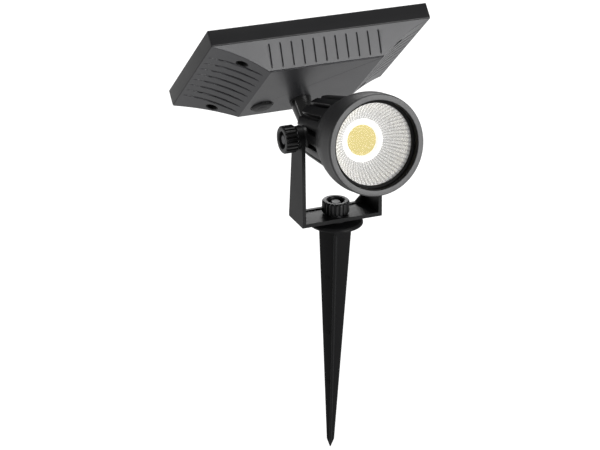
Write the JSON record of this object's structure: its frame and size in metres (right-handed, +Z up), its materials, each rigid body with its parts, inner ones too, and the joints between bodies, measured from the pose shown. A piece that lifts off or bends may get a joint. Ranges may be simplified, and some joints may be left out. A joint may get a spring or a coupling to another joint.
{
  "type": "solar garden spotlight",
  "caption": "Garden spotlight on a ground stake: round lamp in a tilting yoke, with a hipped solar head on a hinged neck behind it, knob clamps and a rubber push button.",
  "frame": {"origin": "centre of the stake flange's underside, at the soil line", "axes": "+Z up along the stake, the lamp shines towards -Y and X runs along the yoke's pivot axis"},
  "size_m": [0.1756, 0.1939, 0.3422],
  "materials": {
    "stake_plastic": "moulded black nylon, fine satin grain",
    "yoke_plastic": "moulded black nylon, satin",
    "knob_plastic": "moulded black, ribbed grip",
    "lamp_plastic": "moulded black, satin",
    "bezel_plastic": "moulded charcoal, fine satin texture",
    "housing_plastic": "moulded charcoal, fine spark texture",
    "frame_plastic": "moulded black, satin",
    "neck_plastic": "gloss black",
    "bolt_steel": "zinc plated",
    "insert_brass": "turned",
    "spreader_aluminium": "milled",
    "clear_glass": "clear tempered",
    "panel_glass": "clear tempered, low glare",
    "reflector_chrome": "vacuum metalised, faceted",
    "chip_yellow": "silicone with yellow phosphor",
    "holder_white": "white polymer",
    "board_white": "white solder mask",
    "seal_rubber": "soft black",
    "button_rubber": "soft black, satin",
    "cell_silicon": "dark blue silicon with fine silver lines",
    "backing_film": "white film",
    "board_green": "green solder mask",
    "switch_plastic": "black",
    "battery_wrap": "blue shrink wrap"
  },
  "bodies": {
    "stake": {"ground_stake": "stake_plastic", "stake_nut": "bolt_steel"},
    "yoke": {"yoke_bracket": "yoke_plastic"},
    "swivel_washer_set": {"swivel_washer": "bolt_steel"},
    "swivel_knob_set": {"swivel_knob": "knob_plastic", "swivel_bolt": "bolt_steel"},
    "left_washer_set": {"left_washer": "bolt_steel"},
    "left_knob_set": {"left_knob": "knob_plastic", "left_bolt": "bolt_steel"},
    "right_washer_set": {"right_washer": "bolt_steel"},
    "right_knob_set": {"right_knob": "knob_plastic", "right_bolt": "bolt_steel"},
    "lamp": {"lamp_bezel": "bezel_plastic", "glass_seal": "seal_rubber", "front_glass": "clear_glass", "reflector": "reflector_chrome", "chip_holder": "holder_white", "chip_board": "board_white", "light_chip": "chip_yellow", "heat_spreader": "spreader_aluminium", "lamp_housing": "lamp_plastic", "pivot_inserts": "insert_brass", "pivot_washers": "seal_rubber", "tail_bracket": "lamp_plastic", "tail_screws": "bolt_steel", "hinge_bolt": "bolt_steel", "hinge_nut": "bolt_steel"},
    "neck": {"neck_stem": "neck_plastic", "neck_nut": "neck_plastic"},
    "solar_head": {"panel_frame": "frame_plastic", "panel_glass": "panel_glass", "cell_backing": "backing_film", "solar_cells": "cell_silicon", "housing_gasket": "seal_rubber", "back_housing": "housing_plastic", "housing_screws": "bolt_steel", "control_board": "board_green", "switch_body": "switch_plastic", "battery_cell": "battery_wrap", "battery_cradle": "switch_plastic"},
    "button": {"power_button": "button_rubber", "switch_plunger": "switch_plastic"}
  },
  "joints": [
    {"name": "yoke_swivel", "type": "hinge", "parent": "stake", "child": "yoke", "pos_m": [0, 0, 0.0052], "axis": [0, 0, 1], "continuous": true},
    {"name": "lamp_tilt", "type": "hinge", "parent": "yoke", "child": "lamp", "pos_m": [0, 0, 0.07245], "axis": [1, 0, 0], "range_deg": [-35, 45]},
    {"name": "panel_tilt", "type": "hinge", "parent": "lamp", "child": "neck", "pos_m": [0, 0.04983, 0.05311], "axis": [1, 0, 0], "range_deg": [-45, 17]},
    {"name": "panel_swivel", "type": "hinge", "parent": "neck", "child": "solar_head", "pos_m": [0, 0.06825, 0.07319], "axis": [0, -0.676, -0.7369], "range_deg": [-90, 90]},
    {"name": "button_press", "type": "slide", "parent": "solar_head", "child": "button", "axis": [0, 0.676, 0.7369], "range_m": [0, 0.0012], "stiffness_N_per_m": 500},
    {"name": "swivel_washer_lift", "type": "slide", "parent": "yoke", "child": "swivel_washer_set", "axis": [0, 0, 1], "range_m": [0, 0.0008]},
    {"name": "swivel_knob_turn", "type": "hinge", "parent": "swivel_washer_set", "child": "swivel_knob_set", "pos_m": [0, 0, 0.0086], "axis": [0, 0, 1], "range_deg": [0, 360.2]},
    {"name": "left_washer_lift", "type": "slide", "parent": "yoke", "child": "left_washer_set", "axis": [-1, 0, 0], "range_m": [0, 0.0008]},
    {"name": "left_knob_turn", "type": "hinge", "parent": "left_washer_set", "child": "left_knob_set", "pos_m": [-0.0349, 0, 0.07245], "axis": [-1, 0, 0], "range_deg": [0, 360.2]},
    {"name": "right_washer_lift", "type": "slide", "parent": "yoke", "child": "right_washer_set", "axis": [1, 0, 0], "range_m": [0, 0.0008]},
    {"name": "right_knob_turn", "type": "hinge", "parent": "right_washer_set", "child": "right_knob_set", "pos_m": [0.0349, 0, 0.07245], "axis": [1, 0, 0], "range_deg": [0, 360.2]}
  ],
  "couplings": [
    {"joint": "swivel_knob_turn", "follows": "swivel_washer_lift", "rad_per_m": 7854},
    {"joint": "left_knob_turn", "follows": "left_washer_lift", "rad_per_m": 7854},
    {"joint": "right_knob_turn", "follows": "right_washer_lift", "rad_per_m": 7854}
  ]
}
